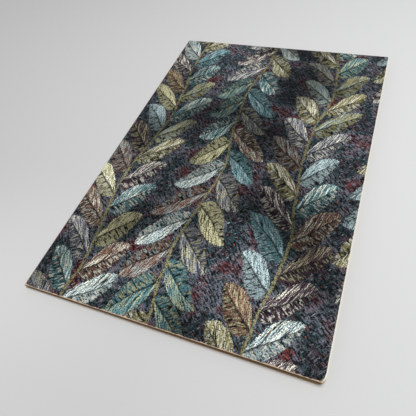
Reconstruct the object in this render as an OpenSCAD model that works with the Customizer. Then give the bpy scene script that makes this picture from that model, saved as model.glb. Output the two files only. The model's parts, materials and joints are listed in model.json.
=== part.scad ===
// Folded card of three-ply board, lying closed on its back leaf.
// The fold runs along Y on the left, and the front leaf opens upwards and over to the left.
// The origin is the centre of the card's footprint, on the surface under the back leaf.

/* [Card] */
// Width of the closed card, from the outside of the fold to the front leaf's fore edge
card_w = 101.6; // [60:0.1:220]
// Height of the card along the fold
card_h = 152.4; // [80:0.1:310]
// Radius of the corners at the fore edges, blunted by handling
corner_r = 1.2; // [0.2:0.1:6]
// How far the back leaf reaches past the front leaf at the fore edge
back_reach = 0.1; // [0.1:0.1:3]

/* [Board] */
// Thickness of the liner ply on each face of the board
liner_t = 0.1; // [0.05:0.01:0.25]
// Thickness of the core ply between the two liners
core_t = 0.3; // [0.1:0.01:1]

/* [Fold] */
// Space between the two leaves where they run into the fold
fold_gap = 1.4; // [0.6:0.1:4]
// Angle at which the springy fold holds the closed card ajar
rest_angle = 0.6; // [0:0.1:5]
// Clearance between neighbouring pieces at each crease line
crease_gap = 0.03; // [0.01:0.01:0.08]

/* [Hidden] */
// Facets that share the turn from the back leaf to the front leaf
facet_count = 5;
// Turn at each crease line with the card at rest
bend = (180 - rest_angle) / (facet_count + 1);
// Setback of a mitred end for each millimetre of depth, so that neighbours close by one bend
mitre = tan(bend / 2);
board_t = core_t + 2 * liner_t;
fold_h = fold_gap + 2 * board_t;
facet_w = fold_h / climb(facet_count);
// How far the fold bulges past the crease line on the back leaf
bulge = facet_w * max([for (k = [0 : facet_count]) run(k)]);
back_l = card_w + back_reach - bulge;
front_l = ((card_w - back_reach) / 2 - crease_x(facet_count)) / cos(rest_angle);
print_colour = [0.36, 0.36, 0.36];
liner_colour = [0.92, 0.91, 0.88];
inside_colour = [0.66, 0.57, 0.44];
core_colour = [0.74, 0.62, 0.52];
// Straight steps in the arc of a rounded corner
corner_steps = 8;
LEAF_NODES = [
    "back_outside_ply", "back_core_ply", "back_inside_ply",
    "front_printed_ply", "front_core_ply", "front_inside_ply"
];

// Rise and run of the first k facets, in facet widths
function climb(k) = k == 0 ? 0 : climb(k - 1) + sin(k * bend);
function run(k) = k == 0 ? 0 : run(k - 1) + cos(k * bend);

// Crease line k lies on the board's outer face: 0 is on the back leaf, the last on the front leaf
function crease_x(k) = bulge - (card_w + back_reach) / 2 - facet_w * run(k);
function crease_z(k) = facet_w * climb(k);

// Flat outline of a leaf ply, from its end near the crease line to its rounded fore edge
module leaf_outline(length, setback) {
    polygon([
        [setback, -card_h / 2],
        for (side = [-1, 1], step = [0 : corner_steps])
            let (angle = 90 * (step / corner_steps + (side - 1) / 2))
                [length - corner_r + corner_r * cos(angle),
                 side * (card_h / 2 - corner_r) + corner_r * sin(angle)],
        [setback, card_h / 2]
    ]);
}

// One ply of a leaf whose outer face lies on z = 0, starting at a depth below that face
module leaf_ply(length, depth, thick) {
    translate([0, 0, depth])
        linear_extrude(thick)
            leaf_outline(length, crease_gap / 2 + (depth + thick) * mitre);
}

module back_leaf_ply(depth, thick) {
    translate([crease_x(0), 0, crease_z(0)])
        leaf_ply(back_l, depth, thick);
}

// The front leaf is turned face up, so its plies go down from the outer face
module front_leaf_ply(depth, thick) {
    translate([crease_x(facet_count), 0, crease_z(facet_count)])
        rotate([0, -rest_angle, 0])
            mirror([0, 0, 1])
                leaf_ply(front_l, depth, thick);
}

module back_outside_ply() {
    color(liner_colour) back_leaf_ply(0, liner_t);
}

module back_core_ply() {
    color(core_colour) back_leaf_ply(liner_t, core_t);
}

module back_inside_ply() {
    color(inside_colour) back_leaf_ply(liner_t + core_t, liner_t);
}

module front_printed_ply() {
    color(print_colour) front_leaf_ply(0, liner_t);
}

module front_core_ply() {
    color(core_colour) front_leaf_ply(liner_t, core_t);
}

module front_inside_ply() {
    color(inside_colour) front_leaf_ply(liner_t + core_t, liner_t);
}

// Section of a facet across the fold: outer face on y = 0, both ends mitred towards the inside
module facet_section() {
    outer = crease_gap / 2;
    inner = outer + board_t * mitre;
    polygon([[-outer, 0], [-inner, board_t], [inner - facet_w, board_t], [outer - facet_w, 0]]);
}

// Facet k hangs on crease line k - 1 and carries the next piece at crease line k
module fold_facet(k) {
    color(k > facet_count / 2 ? print_colour : liner_colour)
        translate([crease_x(k - 1), 0, crease_z(k - 1)])
            rotate([0, k * bend, 0])
                rotate([90, 0, 0])
                    linear_extrude(card_h, center = true)
                        facet_section();
}

back_outside_ply();
back_core_ply();
back_inside_ply();
front_printed_ply();
front_core_ply();
front_inside_ply();
for (k = [1 : facet_count])
    fold_facet(k);
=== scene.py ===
# %% [markdown]
# # A folded card
#
# A greeting card is one sheet of board with one crease. The board is three plies glued together: a smooth
# liner on each face and a fibrous core between them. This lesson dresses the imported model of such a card:
# it bends the plies round a springy fold, prints the front, and photographs the card as it lies closed.
#
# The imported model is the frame. It gives the card's sizes, the bodies that its pieces ride on and the joints
# that move them.

# %% Load the frame
import json
import math

import bpy
import numpy as np
from mathutils import Matrix, Vector


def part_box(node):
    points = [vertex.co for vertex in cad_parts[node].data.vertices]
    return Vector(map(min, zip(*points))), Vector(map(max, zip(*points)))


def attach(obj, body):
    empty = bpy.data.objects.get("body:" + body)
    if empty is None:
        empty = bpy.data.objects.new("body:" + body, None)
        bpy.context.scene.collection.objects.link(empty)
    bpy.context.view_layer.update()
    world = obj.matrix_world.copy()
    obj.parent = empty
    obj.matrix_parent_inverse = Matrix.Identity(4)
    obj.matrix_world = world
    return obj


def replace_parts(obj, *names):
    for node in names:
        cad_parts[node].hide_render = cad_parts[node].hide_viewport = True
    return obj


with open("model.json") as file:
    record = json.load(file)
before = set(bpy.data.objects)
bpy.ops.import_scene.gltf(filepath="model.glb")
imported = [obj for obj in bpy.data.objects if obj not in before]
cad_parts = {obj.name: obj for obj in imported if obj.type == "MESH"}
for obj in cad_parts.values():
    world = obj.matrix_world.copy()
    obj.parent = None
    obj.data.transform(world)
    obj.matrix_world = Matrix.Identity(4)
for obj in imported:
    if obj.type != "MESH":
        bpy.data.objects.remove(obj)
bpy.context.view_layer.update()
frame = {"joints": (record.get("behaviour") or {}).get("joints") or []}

scene = bpy.context.scene
mm_per_metre = 1000

# %% [markdown]
# ## The bent sheet
#
# Board doesn't fold to a sharp line. It goes round a small arc, and on this card the arc turns almost half
# a circle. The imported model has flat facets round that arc. Each facet touches the true arc at its middle,
# so the arc is the circle drawn inside the facets: its radius is half a facet over the tangent of half the
# turn between two facets. Both numbers are in the joints.

# %% Measure the fold and the board
joints = {joint["name"]: joint for joint in frame["joints"]}
turn_names = sorted(name for name in joints if name.startswith("fold_turn_"))
facet_count = len(turn_names)
full_turn = math.radians(joints["front_leaf_open"]["range_deg"][1])
facet_turn = full_turn / (facet_count + 1)

first_crease = Vector(joints[turn_names[0]]["pos_m"])
second_pole = Vector(joints[turn_names[1]]["pos_m"])
facet_width = 2 * (first_crease.x - second_pole.x)
fold_radius = facet_width / 2 / math.tan(facet_turn / 2)
fold_x = first_crease.x + facet_width / 2
fold_z = first_crease.z + fold_radius

half_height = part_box("front_printed_ply")[1].y
liner_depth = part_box("back_outside_ply")[1].z
core_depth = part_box("back_core_ply")[1].z
board_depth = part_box("back_inside_ply")[1].z
print(f"fold radius {fold_radius * mm_per_metre:.3f} mm, board {board_depth * mm_per_metre:.2f} mm")

# %% [markdown]
# One function can place any point of the folded sheet. Its first number says how far the point lies from
# the middle of the fold, measured along the outer skin: negative on the back leaf, positive on the front.
# Within the arc that length becomes an angle, and past the arc it goes on straight. The depth moves the
# point in from the skin, towards the centre of the arc.

# %% Bend the sheet


def bent_sheet(along, across, depth):
    """Points of the folded board.
    The turn is the length over the radius, held between none and the full turn. What is left of the length
    runs straight on from there, along the tangent. The depth shortens the radius."""
    turn = np.clip(along / fold_radius + full_turn / 2, 0, full_turn)
    straight = along - fold_radius * (turn - full_turn / 2)
    radius = fold_radius - depth
    x = fold_x - radius * np.sin(turn) - straight * np.cos(turn)
    z = fold_z - radius * np.cos(turn) + straight * np.sin(turn)
    return np.stack([x, across, z], axis=-1)


half_arc = fold_radius * full_turn / 2
back_reach = half_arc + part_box("back_core_ply")[1].x - fold_x
front_start = bent_sheet(np.array(half_arc), np.array(0.0), 0.0)
front_reach = half_arc + (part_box("front_printed_ply")[1].x - front_start[0]) / -math.cos(full_turn)
print(f"from the middle of the fold the back's skin is {back_reach * mm_per_metre:.2f} mm long")
print(f"and the front's {front_reach * mm_per_metre:.2f} mm")

# %% [markdown]
# ## The camera
#
# Four corners of a flat rectangle are enough to find a camera. The front's corners were read off the
# picture in pixels, and their real places are known from the sheet. At the fold the corner is where the arc
# turns out of sight. The matrix that maps the places to the pixels is a homography. Its first two columns
# are the rectangle's own axes as the camera sees them, and because those axes are square to each other, the
# focal length follows too. That holds for pixels counted from the point that the lens faces. In a cropped
# picture it isn't quite the middle, and here the card's sides come out in their true proportion if it lies
# a few pixels to the left.

# %% Read the corners
image_size = 416
lens_centre = np.array([203.0, 208.0])
corner_pixels = np.array([(188.9, 41.1), (389.5, 57.2), (326.2, 384.0), (24.5, 284.8)])
# How far round the fold its outline lies, as the camera sees it
sight_turn = math.radians(129)
fold_edge = fold_radius * (sight_turn - full_turn / 2)
corner_along = np.array([fold_edge, front_reach, front_reach, fold_edge])
corner_across = np.array([half_height, half_height, -half_height, -half_height])
corner_places = bent_sheet(corner_along, corner_across, 0.0)
print("corners in millimetres:", (corner_places * mm_per_metre).round(1).tolist())

# %% Solve the camera


def plane_to_view(plane, view):
    """The homography from places on a plane to pixels. Two rows for each corner say that the mapped place
    lies on its pixel, and the last row of the singular vectors solves them."""
    places = np.hstack([plane, np.ones((len(plane), 1))])
    none = np.zeros_like(places)
    rows_x = np.hstack([places, none, -view[:, :1] * places])
    rows_y = np.hstack([none, places, -view[:, 1:] * places])
    return np.linalg.svd(np.vstack([rows_x, rows_y]))[2][-1].reshape(3, 3)


def camera_from_corners(places, pixels, centre):
    """The focal length in pixels and the camera's matrix, from the corners top left, top right, bottom
    right and bottom left. The axes are square where x1*x2 + y1*y2 = -f*f*z1*z2, which gives the focal
    length f. The axes as seen, beside the true ones, give the camera's turn, and one corner its place."""
    right = places[2] - places[3]
    right = right / np.linalg.norm(right)
    up = places[0] - places[3]
    up = up / np.linalg.norm(up)
    plane = (places - places[3]) @ np.stack([right, up], axis=1)
    mapped = plane_to_view(plane, pixels - centre)
    focal = math.sqrt(-(mapped[0, 0] * mapped[0, 1] + mapped[1, 0] * mapped[1, 1])
                      / (mapped[2, 0] * mapped[2, 1]))
    seen = np.diag([1 / focal, 1 / focal, 1]) @ mapped
    seen = seen * np.sign(seen[2, 2])
    lengths = np.linalg.norm(seen[:, :2], axis=0)
    seen_right, seen_up = (seen[:, :2] / lengths).T
    seen_axes = np.stack([seen_right, seen_up, np.cross(seen_right, seen_up)], axis=1)
    true_axes = np.stack([right, up, np.cross(right, up)], axis=1)
    turn = true_axes @ np.linalg.inv(seen_axes)
    matrix = np.eye(4)
    matrix[:3, :3] = turn @ np.diag([1, -1, -1])
    matrix[:3, 3] = places[3] - turn @ (seen[:, 2] / lengths.mean())
    return focal, matrix


# %% Place the camera


def add_object(name, data):
    """A new object of the scene that shows this data."""
    made = bpy.data.objects.new(name, data)
    scene.collection.objects.link(made)
    return made


focal, camera_matrix = camera_from_corners(corner_places, corner_pixels, lens_centre)
camera_data = bpy.data.cameras.new("camera")
camera_data.sensor_width = 36.0
camera_data.lens = camera_data.sensor_width * focal / image_size
camera_data.shift_x = 0.5 - lens_centre[0] / image_size
camera_data.shift_y = lens_centre[1] / image_size - 0.5
camera_data.clip_start = 0.01
camera = add_object("camera", camera_data)
camera.matrix_world = Matrix(camera_matrix.tolist())
scene.camera = camera
eye = (camera_matrix[:3, 3] * mm_per_metre).round(1).tolist()
print(f"lens {camera_data.lens:.1f} mm, eye at {eye} mm")

# %% [markdown]
# ## Shader maths
#
# A finish is a formula over the surface. Written as Python it can be read like one: a wire is one socket
# of a node tree, and adding or multiplying wires puts the Math nodes in. Every other node comes from one
# method, which makes the node's settings first and then feeds its sockets.

# %% Wires


def set_stops(ramp, interpolation, stops):
    """Gives a colour ramp exactly these stops, each a place from 0 to 1 and a colour."""
    ramp.interpolation = interpolation
    while len(ramp.elements) > 1:
        ramp.elements.remove(ramp.elements[-1])
    ramp.elements[0].position, ramp.elements[0].color = stops[0]
    for place, colour in stops[1:]:
        ramp.elements.new(place).color = colour


class Wire:
    """One socket of a node tree, on which arithmetic adds Math nodes."""

    def __init__(self, tree, socket):
        self.tree = tree
        self.socket = socket

    def node(self, kind, settings=None, sockets=None, output=0):
        """Adds a node of a kind, makes its settings, feeds its sockets and returns one of its outputs."""
        made = self.tree.nodes.new(kind)
        for name, value in (settings or {}).items():
            if name == "stops":
                set_stops(made.color_ramp, *value)
            else:
                setattr(made, name, value)
        for key, value in (sockets or {}).items():
            if isinstance(value, Wire):
                self.tree.links.new(value.socket, made.inputs[key])
            else:
                made.inputs[key].default_value = value
        return Wire(self.tree, made.outputs[output])

    def also(self, output):
        """Another output of the node that this wire comes from."""
        return Wire(self.tree, self.socket.node.outputs[output])

    def maths(self, operation, *values):
        return self.node("ShaderNodeMath", {"operation": operation}, dict(enumerate(values)))

    def __add__(self, other):
        return self.maths("ADD", self, other)

    __radd__ = __add__

    def __sub__(self, other):
        return self.maths("SUBTRACT", self, other)

    def __rsub__(self, other):
        return self.maths("SUBTRACT", other, self)

    def __mul__(self, other):
        return self.maths("MULTIPLY", self, other)

    __rmul__ = __mul__

    def __truediv__(self, other):
        return self.maths("DIVIDE", self, other)

    def __pow__(self, other):
        return self.maths("POWER", self, other)

    def __mod__(self, other):
        return self.maths("FLOORED_MODULO", self, other)

    def __abs__(self):
        return self.maths("ABSOLUTE", self)

    def __floor__(self):
        return self.maths("FLOOR", self)

    def least(self, other):
        return self.maths("MINIMUM", self, other)

    def most(self, other):
        return self.maths("MAXIMUM", self, other)

    def step(self, low, high):
        """A soft step: 0 up to low, 1 from high on, and smooth between."""
        bounds = {"Value": self, "From Min": low, "From Max": high}
        return self.node("ShaderNodeMapRange", {"interpolation_type": "SMOOTHSTEP"}, bounds)

    def mix(self, low, high):
        """The colour low where this wire is 0, and high where it is 1."""
        sockets = {0: self, 6: low, 7: high}
        return self.node("ShaderNodeMix", {"data_type": "RGBA"}, sockets, output=2)

    def scaled(self, amount):
        """This wire's colour times a number."""
        return self.node("ShaderNodeVectorMath", {"operation": "SCALE"}, {0: self, "Scale": amount})

    def ramp(self, interpolation, stops):
        return self.node("ShaderNodeValToRGB", {"stops": (interpolation, stops)}, {0: self})


# %% Noise, inks and finishes


def noise(x, y, seed, detail=2.0):
    """Smooth noise from 0 to 1 over two wires; one unit of a wire is about one blotch."""
    place = x.node("ShaderNodeCombineXYZ", sockets={0: x, 1: y, 2: seed})
    return place.node("ShaderNodeTexNoise", sockets={"Vector": place, "Scale": 1.0, "Detail": detail})


def even_noise(along, up, fineness, seed, detail=2.0):
    """Noise that is as fine along the sheet as up it: fineness is the number of blotches a millimetre."""
    return noise(along * fineness, up * fineness, seed, detail)


def ink(red, green, blue):
    """A colour from its three screen values, 0 to 255, as the linear colour that the shader wants. The
    screen's curve is a straight line close to black, and a power from there on."""
    share = np.array([red, green, blue]) / 255
    linear = np.where(share <= 0.04045, share / 12.92, ((share + 0.055) / 1.055) ** 2.4)
    return (*linear.tolist(), 1.0)


def make_finish(name, describe):
    """A material: describe gets a wire into an empty tree, and returns what feeds the shader's sockets."""
    material = bpy.data.materials.new(name)
    material.use_nodes = True
    tree = material.node_tree
    shader = tree.nodes["Principled BSDF"]
    for socket, value in describe(Wire(tree, shader.outputs[0])).items():
        if isinstance(value, Wire):
            tree.links.new(value.socket, shader.inputs[socket])
        else:
            shader.inputs[socket].default_value = value
    print("finish", name, "has", len(tree.nodes), "nodes")
    return material


# %% [markdown]
# ## The sheet's own coordinates
#
# Every piece of the card carries two things that its finish reads: a UV map, which is the same length along
# the skin and height up the card that bent the sheet, and the depth below the skin. So a print runs over
# the fold without a break, and a cut edge shows its plies. The finishes read all three in millimetres.

# %% Read the sheet


def sheet_place(wire):
    """Length along the skin and height up the card, both in millimetres."""
    uv = wire.node("ShaderNodeUVMap", {"uv_map": "sheet"})
    split = uv.node("ShaderNodeSeparateXYZ", sockets={0: uv})
    return split * mm_per_metre, split.also("Y") * mm_per_metre


def sheet_depth(wire):
    """Depth below the outer skin, in millimetres."""
    return wire.node("ShaderNodeAttribute", {"attribute_name": "depth"}, output="Fac") * mm_per_metre


def paper_bump(wire, height, relief):
    """A normal from a height of 0 to 1, where 1 stands for so many metres of relief."""
    return wire.node("ShaderNodeBump", sockets={"Height": height, "Strength": 1.0, "Distance": relief})


# %% [markdown]
# ## The papers
#
# The white liner is coated, so it is smooth with only a faint cloudiness from its fibres. The inside liner
# is bare brown kraft: its fibres show as short dark streaks that lie every way, over a grain that runs up
# the sheet, with a few dark flecks. The core is pale pulp, and a knife leaves it rough. Stretched noise
# gives fibres: it is fine across a fibre and long along it, and three sets at different angles are enough
# for the eye to lose their directions.

# %% Lay fibres
fibre_width = 0.16
fibre_length = 1.5
fibre_angles = (0.3, 1.4, 2.4)


def fibres(along, up, seed):
    """Fibres that lie three ways: the strongest of three stretched noises, each turned by its angle."""
    sets = []
    for angle in fibre_angles:
        across = along * math.cos(angle) + up * math.sin(angle)
        length = up * math.cos(angle) - along * math.sin(angle)
        sets.append(noise(across / fibre_width, length / fibre_length, seed + angle))
    return sets[0].most(sets[1]).most(sets[2])


# %% Colour the papers
white_light = ink(240, 238, 232)
white_shade = ink(233, 230, 222)
kraft_light = ink(186, 162, 128)
kraft_dark = ink(146, 122, 92)
kraft_fleck = ink(112, 88, 62)
core_light = ink(222, 190, 164)
core_dark = ink(178, 144, 118)
white_seed = 2.0
kraft_seed = 4.0
cloud_share = 0.6
kraft_fibre_share = 0.8
kraft_grain_share = 0.3
fleck_strength = 0.6
# Blotches a millimetre: across the kraft and up it, and along a cut and through the board
grain_across = 0.9
grain_up = 0.13
fleck_across = 1.3
fleck_up = 0.9
streaks_along = 1.1
streaks_through = 14.0


def white_paper(along, up):
    """Clouds and a share of fibres, between two whites."""
    cloud = even_noise(along, up, fineness=0.25, seed=1.0)
    tone = cloud * cloud_share + fibres(along, up, white_seed) * (1 - cloud_share)
    return tone.step(0.3, 0.75).mix(white_shade, white_light)


def kraft_paper(along, up):
    """Fibres and a share of the grain, which is long up the sheet, between two browns, under the flecks."""
    grain = noise(along * grain_across, up * grain_up, seed=5.0, detail=4.0)
    flecks = noise(along * fleck_across, up * fleck_up, seed=8.0).step(0.62, 0.72)
    tone = fibres(along, up, kraft_seed) * kraft_fibre_share + grain * kraft_grain_share
    paper = tone.step(0.5, 0.85).mix(kraft_light, kraft_dark)
    return (flecks * fleck_strength).mix(paper, kraft_fleck)


def pulp(along, up, depth):
    """Streaks that are long along the cut and thin through the board, between two tans."""
    streaks = noise((along + up) * streaks_along, depth * streaks_through, seed=6.0)
    return streaks.step(0.3, 0.7).mix(core_dark, core_light)


# %% Make the paper finishes
white_relief = 4e-6
kraft_relief = 1.2e-5
core_relief = 3e-5
cut_along = 3.0
cut_through = 20.0


def white_liner(wire):
    """Coated white: half matt, with a relief of fibres at half their size."""
    along, up = sheet_place(wire)
    return {
        "Base Color": white_paper(along, up),
        "Roughness": 0.45 + 0.15 * even_noise(along, up, fineness=0.6, seed=9.0),
        "Normal": paper_bump(wire, fibres(along * 2.0, up * 2.0, white_seed), white_relief),
        "Specular IOR Level": 0.3,
    }


def kraft_liner(wire):
    """Bare kraft: matt, with its own fibres as relief."""
    along, up = sheet_place(wire)
    return {
        "Base Color": kraft_paper(along, up),
        "Roughness": 0.75 + 0.15 * even_noise(along, up, fineness=0.6, seed=9.0),
        "Normal": paper_bump(wire, fibres(along, up, kraft_seed), kraft_relief),
        "Specular IOR Level": 0.2,
    }


def board_core(wire):
    """Cut pulp: fully matt, with a relief of fine streaks."""
    along, up = sheet_place(wire)
    depth = sheet_depth(wire)
    cut = noise((along + up) * cut_along, depth * cut_through, seed=7.0)
    return {
        "Base Color": pulp(along, up, depth),
        "Roughness": 0.9,
        "Normal": paper_bump(wire, cut, core_relief),
        "Specular IOR Level": 0.2,
    }


finishes = {finish.__name__: make_finish(finish.__name__, finish)
            for finish in (white_liner, kraft_liner, board_core)}

# %% [markdown]
# ## The print
#
# The front carries a dark leafy pattern that looks drawn with chalk pastels and runs off every edge. Stems
# stand in columns, one column growing up and the next growing down, with a leaf to each side in turn. The
# leaves climb away from their stem along slanted lines. Shearing a column by that slant lays every leaf in
# a cell of its own, so a leaf is one formula on its cell, and a random number for each cell picks its
# colours and its length.
#
# Pastel is laid on in layers. Each layer is a set of short strokes, which is stretched noise with a soft
# cut-off: it covers part of the sheet, and the layers below show through the gaps down to the dark ground.

# %% Choose the pastels
night = ink(18, 19, 22)
plum = ink(71, 54, 64)
maroon = ink(96, 44, 44)
deep_teal = ink(42, 65, 68)
slate = ink(101, 104, 114)
teal = ink(82, 121, 126)
mist = ink(150, 168, 170)
olive = ink(130, 125, 87)
sage = ink(172, 169, 134)
rust = ink(138, 79, 58)
umber = ink(115, 89, 75)
chalk = ink(221, 220, 205)
ground_pastels = [(0.3, plum), (0.43, deep_teal), (0.54, slate), (0.66, maroon)]
leaf_pastels = [slate, teal, olive, mist, sage, plum, teal, umber]
top_pastels = [chalk, mist, sage, chalk]
print(len(leaf_pastels), "pastels for the leaves,", len(ground_pastels), "for the ground")

# %% Lay pastel strokes
stroke_fineness = 1.7
stroke_stretch = 0.45
hatch_scale = 0.7


def strokes(across, along, seed, low, high):
    """Chalk strokes from 0 to 1: noise that is fine across a stroke and long along it, cut off softly."""
    return noise(across * stroke_fineness, along * stroke_stretch, seed, detail=3.0).step(low, high)


def pick_pastel(number, pastels):
    """One of the pastels, by a number from 0 to 1."""
    return number.ramp("CONSTANT", [(i / len(pastels), colour) for i, colour in enumerate(pastels)])


def chalk_ground(along, up):
    """Dark cross-hatching: each diagonal has its own strokes, in colours that drift over the sheet."""
    rising = (along + up) * hatch_scale
    falling = (along - up) * hatch_scale
    drift = even_noise(along, up, fineness=0.09, seed=23.0).ramp("LINEAR", ground_pastels)
    ground = strokes(rising, falling, seed=21.0, low=0.42, high=0.6).mix(night, drift)
    ground = (strokes(falling, rising, seed=22.0, low=0.55, high=0.66) * 0.8).mix(ground, slate)
    ground = strokes(rising, falling, seed=24.0, low=0.64, high=0.7).mix(ground, rust)
    return strokes(falling, rising, seed=25.0, low=0.66, high=0.72).mix(ground, mist)


# %% Lay out the leaves
column_pitch = 33.0
leaf_spacing = 13.5
leaf_slant = 0.95
stem_sway = 2.2
stem_wave = 84.0
wave_shift = 2.1
column_shift = 0.37
side_shift = 0.25
hand_drift = 3.0
hand_shake = 0.9


def hand_drawn(along, up):
    """The sheet's places as an unsteady hand meets them, pushed about by a slow drift and a quick shake."""
    drift_x = hand_drift * even_noise(along, up, fineness=0.06, seed=31.0)
    shake_x = hand_shake * even_noise(along, up, fineness=0.9, seed=32.0)
    drift_y = hand_drift * even_noise(along, up, fineness=0.06, seed=33.0)
    shake_y = hand_shake * even_noise(along, up, fineness=0.9, seed=34.0)
    return along + drift_x + shake_x, up + drift_y + shake_y


def leaf_cell(x, y):
    """The leaf that a point belongs to: how far out from the stem the point lies, how far off the leaf's
    axis, and a random number for that leaf. The stem is a sine wave up its column. The climb counts leaves
    up the column along their slant, so its whole part is the leaf and the rest the place across it."""
    column = math.floor(x / column_pitch)
    wave = y * (2 * math.pi / stem_wave) + column * wave_shift
    sway = wave.maths("SINE", wave) * stem_sway
    from_stem = x - (column + 0.5) * column_pitch - sway
    side = from_stem.maths("SIGN", from_stem)
    out = abs(from_stem)
    way = 1 - 2 * (column % 2.0)
    climb = (y * way - out * leaf_slant) / leaf_spacing + column * column_shift + side * side_shift
    row = math.floor(climb)
    off_axis = (climb - row - 0.5) * (leaf_spacing / math.hypot(1, leaf_slant))
    cell = side.node("ShaderNodeCombineXYZ", sockets={0: column, 1: row, 2: side})
    pick = cell.node("ShaderNodeTexWhiteNoise", {"noise_dimensions": "3D"}, {"Vector": cell})
    return out, off_axis, pick


print(f"leaves every {leaf_spacing} mm, on stems {column_pitch} mm apart")

# %% Draw the leaves
leaf_half_width = 4.9
leaf_shortest = 0.8
leaf_roundness = 0.8
rib_half_width = 0.5
stem_half_width = 0.6
vein_out = 1.3
vein_lean = 1.1
leaf_seeds = 60.0
crumble = 1.6


def leaf_colour(out, off_axis, reach, pick, rough):
    """A leaf's strokes run along its veins, in its own pastel with a paler one over it. One half is darker
    than the other, and the rib between them is dark and tapers towards the tip."""
    vein = out * vein_out - abs(off_axis) * vein_lean
    seed = pick * leaf_seeds
    under = strokes(vein, off_axis, seed, low=0.38, high=0.56)
    over = strokes(vein, off_axis, seed + 7.0, low=0.5, high=0.6) * 0.7
    leaf = under.mix(night, pick_pastel(pick, leaf_pastels))
    leaf = over.mix(leaf, pick_pastel(pick * 7.0 % 1.0, top_pastels))
    leaf = leaf.scaled(0.7 + 0.6 * off_axis.step(-0.4, 0.4))
    rib = (rib_half_width - abs(off_axis) - 0.3 * reach + 0.4 * rough).step(0.0, 0.2)
    return (rib * 0.8).mix(leaf, night)


def leafy_print(along, up):
    """The pattern's colour. A leaf's half width is its widest times a power of 4 * r * (1 - r), a little
    more towards the stem, where r runs from 0 at the stem to 1 at the leaf's tip; a point is in the leaf if
    it lies closer to the leaf's axis. The tooth of the drawing paper crumbles every outline, and leaves
    specks of the dark ground in every colour. Broad patches of light and shade lie over it all."""
    tooth = even_noise(along, up, fineness=2.3, seed=35.0, detail=3.0)
    rough = (tooth - 0.5) * crumble
    x, y = hand_drawn(along, up)
    out, off_axis, pick = leaf_cell(x, y)
    length = column_pitch / 2 * (leaf_shortest + (1 - leaf_shortest) * (pick * 13.0 % 1.0))
    reach = (out / length).least(1.0)
    half_width = leaf_half_width * (4 * reach * (1 - reach)) ** leaf_roundness * (1.2 - 0.4 * reach)
    inside = (half_width - abs(off_axis) + rough).step(0.0, 0.5)
    on_stem = (stem_half_width - out + rough).step(0.0, 0.4)
    stem = on_stem * strokes(out, y, seed=38.0, low=0.36, high=0.5)
    picture = inside.mix(chalk_ground(along, up), leaf_colour(out, off_axis, reach, pick, rough))
    picture = (stem * 0.85).mix(picture, olive)
    picture = tooth.step(0.33, 0.52).mix(night, picture)
    light = even_noise(along, up, fineness=0.025, seed=39.0, detail=1.0).step(0.32, 0.68)
    return picture.scaled((0.35 + 1.1 * tooth) * (0.4 + 1.4 * light))


# %% [markdown]
# ## Wear
#
# A card that has been handled is rubbed along its edges, and this one was also trimmed a little wide of its
# print at the fore edge, which leaves a sliver of bare paper. Wear is a width for each edge that wanders
# with noise: where a point lies closer to the edge than that, the paper shows. Along the fold the ink is
# only scuffed. The near corners at the fore edge are worn off as quarter ovals, so distances from the fore
# edge follow that oval.
#
# Each width is two lengths in millimetres: the width where the noise is 0, and what the noise adds at 1.

# %% Rub the edges
sliver_wear = (0.315, 0.27)
near_wear = (-0.221, 0.748)
far_wear = (0.016, 0.128)
fold_wear = (0.08, 1.2)
fold_tip_wear = (0.91, 1.3)
fore_tip_wear = (0.065, 1.3)
scuff_strength = 0.3
rub_strength = 0.9
bare_paper = ink(229, 225, 213)
rubbed_paper = ink(214, 178, 152)
scuffed_ink = ink(176, 118, 100)
near_fall = {"front": 0.0012, "back": 0.0024}
near_length = 0.003


def worn(wear, wander, distance, blur):
    """1 where a point lies closer to an edge than a width that wanders, softened by a blur to each side."""
    least, swing = wear
    return (least + swing * wander - distance).step(-blur, blur)


def worn_print(along, up, picture):
    """The picture with its worn edges. At the near corner the fore edge falls back by its fall times
    1 - sqrt(1 - s * s), where s is how much of the corner's length has been passed."""
    wander = even_noise(along, up, fineness=0.9, seed=41.0, detail=3.0)
    from_near = up + half_height * mm_per_metre
    from_far = half_height * mm_per_metre - up
    passed = (1 - from_near / (near_length * mm_per_metre)).most(0.0).least(1.0)
    corner_fall = near_fall["front"] * mm_per_metre * (1 - (1 - passed * passed) ** 0.5)
    from_fore = front_reach * mm_per_metre - corner_fall - along
    from_fold = abs(along - fold_edge * mm_per_metre)
    scuff = worn(fold_wear, wander, from_fold, blur=0.25)
    sliver = worn(sliver_wear, wander, from_fore, blur=0.03)
    near = worn(near_wear, wander, from_near, blur=0.05)
    far = worn(far_wear, wander, from_far, blur=0.03)
    fold_tip = worn(fold_tip_wear, wander, from_near + from_fold, blur=0.1)
    fore_tip = worn(fore_tip_wear, wander, from_near + from_fore, blur=0.1)
    rubbed = near.most(far).most(fold_tip).most(fore_tip)
    picture = (scuff * scuff_strength).mix(picture, scuffed_ink)
    return (rubbed * rub_strength).mix(sliver.mix(picture, bare_paper), rubbed_paper)


# %% Make the print's finish
ink_depth = 0.01
bare_depth = 0.03
print_relief = 8e-6
print_gloss = 0.03


def inked_liner(along, up, depth, picture):
    """The picture down to the depth of the ink, and the white liner below it."""
    return depth.step(ink_depth, bare_depth).mix(picture, white_paper(along, up))


def print_bump(wire, along, up):
    """The faint relief of printed paper."""
    return paper_bump(wire, even_noise(along, up, fineness=4.0, seed=37.0), print_relief)


def printed_face(wire):
    """The worn print on the liner: half matt, and with hardly any gloss."""
    along, up = sheet_place(wire)
    picture = worn_print(along, up, leafy_print(along, up))
    return {
        "Base Color": inked_liner(along, up, sheet_depth(wire), picture),
        "Roughness": 0.5 + 0.15 * even_noise(along, up, fineness=2.0, seed=36.0),
        "Normal": print_bump(wire, along, up),
        "Specular IOR Level": print_gloss,
    }


finishes["printed_face"] = make_finish("printed_face", printed_face)

# %% [markdown]
# ## The fold's finish
#
# The strip that bends is the same board, seen from every side: print on the front half of its skin and
# white on the back half, kraft inside, and the core where it is cut. The depth picks between them.

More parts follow.
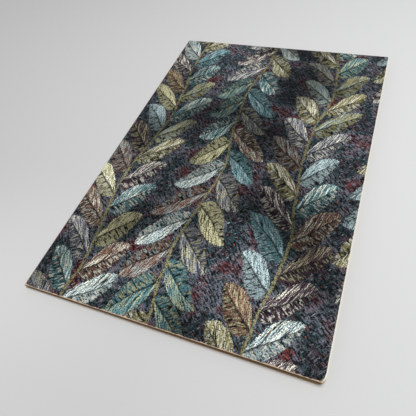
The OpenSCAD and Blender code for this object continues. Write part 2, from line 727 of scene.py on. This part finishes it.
# %% Make the fold's finish
print_blur = 0.05
ply_blur = 0.01


def past_depth(depth, start):
    """1 below a depth that is given in metres, with a border as soft as glue leaves it."""
    start_mm = start * mm_per_metre
    return depth.step(start_mm - ply_blur, start_mm + ply_blur)


def fold_board(wire):
    """The whole board: skin, liner, core and inside liner, by the depth."""
    along, up = sheet_place(wire)
    depth = sheet_depth(wire)
    picture = worn_print(along, up, leafy_print(along, up))
    skin = along.step(-print_blur, print_blur).mix(white_paper(along, up), picture)
    in_core = past_depth(depth, liner_depth)
    colour = inked_liner(along, up, depth, skin)
    colour = in_core.mix(colour, pulp(along, up, depth))
    colour = past_depth(depth, core_depth).mix(colour, kraft_paper(along, up))
    return {
        "Base Color": colour,
        "Roughness": 0.5 + 0.3 * in_core,
        "Normal": print_bump(wire, along, up),
        "Specular IOR Level": print_gloss,
    }


finishes["fold_board"] = make_finish("fold_board", fold_board)

# %% [markdown]
# ## Plies as closed sheets
#
# A ply is two grids, one for each face, with a rim between them. Each face is a grid of length along the
# skin by height, bent by the sheet's formula. The rim steps in a little at the faces that show, because a
# cut edge is never perfectly sharp, and rows of points close to the rim keep the shading flat up to it.

# %% Join the faces of a sheet


def border(grid):
    """The edge of a grid, walked once round."""
    return np.concatenate([grid[:, 0], grid[-1, 1:], grid[-2::-1, -1], grid[0, -2:0:-1]])


def sheet_quads(shape, loop_count):
    """The quads of a closed sheet, as numbers of points that are counted through the outer face, the loops
    of the rim and the inner face. The inner face is wound the other way, so that both face outwards."""
    face_size = shape[0] * shape[1]
    outer = np.arange(face_size).reshape(shape)
    rim_size = len(border(outer))
    inner = outer + face_size + loop_count * rim_size
    loops = [face_size + i * rim_size + np.arange(rim_size) for i in range(loop_count)]
    rims = [border(outer), *loops, border(inner)]
    quads = [np.stack([outer[:-1, :-1], outer[1:, :-1], outer[1:, 1:], outer[:-1, 1:]], axis=-1)]
    quads += [np.stack([inner[:-1, :-1], inner[:-1, 1:], inner[1:, 1:], inner[1:, :-1]], axis=-1)]
    quads += [np.stack([a, b, np.roll(b, -1), np.roll(a, -1)], axis=-1) for a, b in zip(rims, rims[1:])]
    return np.concatenate([quad.reshape(-1, 4) for quad in quads])


# %% Build a closed sheet


def closed_sheet(name, layers, body, slot):
    """One closed piece from layers of (along, across, depth), the outermost first. The first and last are
    whole faces. Those between them give only their borders, and quads join each border to the next."""
    shape = layers[0][0].shape
    parts = [np.stack([along, across, np.full(shape, depth)], axis=-1) for along, across, depth in layers]
    loops = [border(part) for part in parts[1:-1]]
    points = np.concatenate([parts[0].reshape(-1, 3), *loops, parts[-1].reshape(-1, 3)])
    faces = sheet_quads(shape, len(loops))
    mesh = bpy.data.meshes.new(name)
    mesh.from_pydata(bent_sheet(*points.T).tolist(), [], faces.tolist())
    mesh.uv_layers.new(name="sheet").data.foreach_set("uv", points[faces.ravel(), :2].ravel())
    mesh.attributes.new("depth", "FLOAT", "POINT").data.foreach_set("value", points[:, 2])
    mesh.shade_smooth()
    mesh.materials.append(finishes[slot])
    piece = add_object(name, mesh)
    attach(piece, body)
    print("made", name, "with", len(faces), "faces")
    return piece


# %% [markdown]
# ## The two leaves
#
# Each leaf starts half a facet up the arc, runs flat to the fore edge and ends in corners that handling has
# blunted. The far ones are small rounds. The near ones are the quarter ovals of the wear, and the back's
# falls in more than the front's. The three plies of a leaf share one grid at different depths. Only the
# faces that show are eased at their edges, and the core lies a hair deeper than the liners, so the plies
# read as lines at the cut.

# %% Space the rows
rim_steps = np.array([0.0, 0.03, 0.1, 0.2, 0.35, 0.55, 0.8, 1.2, 2.0, 3.0]) / mm_per_metre
height_count = 61
arc_count = 6
flat_count = 42
leaf_start = half_arc - fold_radius * facet_turn / 2


def heights():
    """Places up the card, from -1 to 1: even in the middle, and crowded by the rim's steps at both ends."""
    close = 1 - rim_steps / half_height
    middle = np.linspace(-close[-1], close[-1], height_count)[1:-1]
    return np.concatenate([-close, middle, close[::-1]])


def leaf_rows(reach):
    """Places along a leaf: round the arc, evenly over the flat, and crowded at the fore edge."""
    arc = np.linspace(leaf_start, half_arc, arc_count)
    flat = np.linspace(half_arc, reach - rim_steps[-1], flat_count)[1:-1]
    return np.concatenate([arc, flat, (reach - rim_steps)[::-1]])


print("a leaf's grid:", len(leaf_rows(front_reach)), "by", len(heights()), "points")

# %% Lay out a leaf
leaf_reach = {"front": front_reach, "back": back_reach}
far_radius = 0.0012


def leaf_layer(side, depth, inset):
    """A leaf's face at a depth: rows run from the fold to the fore edge, which follows the blunt corners.
    Within a corner the edge falls back by its fall times 1 - sqrt(1 - s * s), where s is how much of the
    corner's length has been passed. The back leaf's lengths are negative, so its rows are turned round."""
    reach = leaf_reach[side]
    across = heights() * (half_height - inset)
    fall = np.where(across < 0, near_fall[side], far_radius)
    length = np.where(across < 0, near_length, far_radius)
    passed = np.clip(1 - (half_height - np.abs(across)) / length, 0, 1)
    end = reach - inset - fall * (1 - np.sqrt(1 - passed ** 2))
    share = (leaf_rows(reach) - leaf_start) / (reach - leaf_start)
    along = leaf_start + share[:, None] * (end - leaf_start)[None, :]
    across = np.broadcast_to(across, along.shape)
    if side == "back":
        return -along[::-1], across[::-1], depth
    return along, across, depth


# %% Make the six plies
edge_ease = 0.00003
core_setback = 0.000012


def leaf_plies(side, outer_node, outer_slot):
    """The three plies of one leaf, each a closed sheet that stands for its node. A ply's profile is a list
    of depths, each with how far the edge is set in there."""
    body = f"{side}_leaf"
    outside = [(0.0, edge_ease), (edge_ease, 0.0), (liner_depth, 0.0)]
    core = [(liner_depth, core_setback), (core_depth, core_setback)]
    inside = [(core_depth, 0.0), (board_depth - edge_ease, 0.0), (board_depth, edge_ease)]
    plies = [
        (outer_node, outer_slot, outside),
        (f"{side}_core_ply", "board_core", core),
        (f"{side}_inside_ply", "kraft_liner", inside),
    ]
    for node, slot, profile in plies:
        layers = [leaf_layer(side, depth, inset) for depth, inset in profile]
        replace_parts(closed_sheet(f"{node}_sheet", layers, body, slot), node)


leaf_plies("back", "back_outside_ply", "white_liner")
leaf_plies("front", "front_printed_ply", "printed_face")

# %% [markdown]
# ## The bending strip
#
# Between the leaves the arc is cut into as many short arcs as the frame has facets, and each rides on its
# own body. Closed, they join into one round fold. Opened flat, their skins lie side by side, and the inside
# shows the fine grooves that creasing leaves in board.

# %% Make the fold
strip_count = 7
strip_profile = [(0.0, edge_ease), (edge_ease, 0.0),
                 (board_depth - edge_ease, 0.0), (board_depth, edge_ease)]


def facet_layer(number, depth, inset):
    """A short arc of the fold at a depth, centred on the turn of its facet."""
    middle = fold_radius * (number * facet_turn - full_turn / 2)
    half = fold_radius * facet_turn / 2
    along = np.linspace(middle - half, middle + half, strip_count)
    across = heights() * (half_height - inset)
    return (*np.meshgrid(along, across, indexing="ij"), depth)


for number in range(1, facet_count + 1):
    layers = [facet_layer(number, depth, inset) for depth, inset in strip_profile]
    facet = closed_sheet(f"fold_arc_{number}", layers, f"fold_{number}", "fold_board")
    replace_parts(facet, f"fold_facet_{number}")

# %% [markdown]
# ## The table
#
# The card lies on a plain pale table, and light and shade are painted into its colour: painted light that
# grows from left to right, painted shade that dulls it a little towards the front and the back, and a soft
# painted patch of light beside the fold. All three are painted on it, so that the lamp and the room can light
# the card plainly.

# %% Paint the table
# Painted light and shade: the table's colour runs from painted shade on the left to painted light on the
# right.
table_in_painted_shade = ink(181, 181, 181)
table_in_painted_light = ink(233, 234, 234)
painted_shade_starts = -0.276
painted_shade_ends = 0.215
painted_shade_tilt = 0.07
# Painted shade that dulls the table towards the front and the back
painted_dulling_rate = 6.2
painted_dulling_middle = 0.025
painted_dulling_most = 0.1
# A painted patch of light beside the fold
painted_light_x = -0.072
painted_light_y = -0.09
painted_light_radius = 0.075
painted_light_glow = 0.17


def pale_table(wire):
    """A pale table with painted light and shade. Painted light makes it lighter from left to right, painted
    shade dulls it with the square of the distance in front of and behind its middle, and one soft painted
    patch of light lies beside the fold, which fades to its radius."""
    place = wire.node("ShaderNodeTexCoord", output="Object")
    x = place.node("ShaderNodeSeparateXYZ", sockets={0: place})
    y = x.also("Y")
    # Painted light and shade from left to right
    tone = (x + painted_shade_tilt * y).step(painted_shade_starts, painted_shade_ends).mix(table_in_painted_shade, table_in_painted_light)
    # Painted shade towards the front and the back
    painted_dulling = painted_dulling_rate * (y - painted_dulling_middle) * (y - painted_dulling_middle)
    # A painted patch of light beside the fold, fading out to its radius
    away = ((x - painted_light_x) ** 2 + (y - painted_light_y) ** 2) ** 0.5
    painted_light_patch = painted_light_glow * (1 - away / painted_light_radius).step(0.0, 1.0)
    return {
        "Base Color": tone.scaled(1.0 - painted_dulling.least(painted_dulling_most) + painted_light_patch),
        "Roughness": 0.8,
        "Specular IOR Level": 0.1,
    }


# %% Lay the floor
floor_half = 1.5
floor_corners = [(-floor_half, -floor_half, 0), (floor_half, -floor_half, 0),
                 (floor_half, floor_half, 0), (-floor_half, floor_half, 0)]
floor_mesh = bpy.data.meshes.new("floor")
floor_mesh.from_pydata(floor_corners, [], [(0, 1, 2, 3)])
floor_mesh.materials.append(make_finish("pale_table", pale_table))
floor = add_object("floor", floor_mesh)
print("floor of", 2 * floor_half, "metres each way")

# %% [markdown]
# ## The light
#
# One soft lamp is almost straight above, so the card has hardly any shadow. It leans a little to the right
# and away from the viewer, which keeps the gap between the leaves dark. It is a sun that looks as wide as a
# softbox, because a sun lights the whole table evenly. A dim white world fills the light in from all round.
# Seen past the table's end such a world would look grey, so it is pale to the camera, and to rays that are
# mirrored or go through glass.

# %% Fill the room with light
room_light = 0.3
room_seen = 0.7
scene.view_settings.view_transform = "Standard"
world = bpy.data.worlds.new("room")
world.use_nodes = True
room = world.node_tree.nodes["Background"]
room.inputs["Color"].default_value = (1.0, 1.0, 1.0, 1.0)
ray = Wire(world.node_tree, room.outputs[0]).node("ShaderNodeLightPath", output="Is Camera Ray")
seen = ray.most(ray.also("Is Glossy Ray")).most(ray.also("Is Transmission Ray"))
glow = room_light + (room_seen - room_light) * seen
world.node_tree.links.new(glow.socket, room.inputs["Strength"])
scene.world = world
print("the room lights with", room_light, "and looks like", room_seen)

# %% Hang the lamp
lamp_place = Vector((0.1, 0.06, 1.1))
lamp_width = 22
lamp_strength = 2.31
lamp_data = bpy.data.lights.new("overhead", "SUN")
lamp_data.angle = math.radians(lamp_width)
lamp_data.energy = lamp_strength
lamp = add_object("overhead", lamp_data)
lamp_turn = lamp_place.to_track_quat("Z", "Y").to_matrix().to_4x4()
lamp.matrix_world = Matrix.Translation(lamp_place) @ lamp_turn
print(f"lamp of {lamp_strength} watts a square metre, {lamp_width} degrees wide")
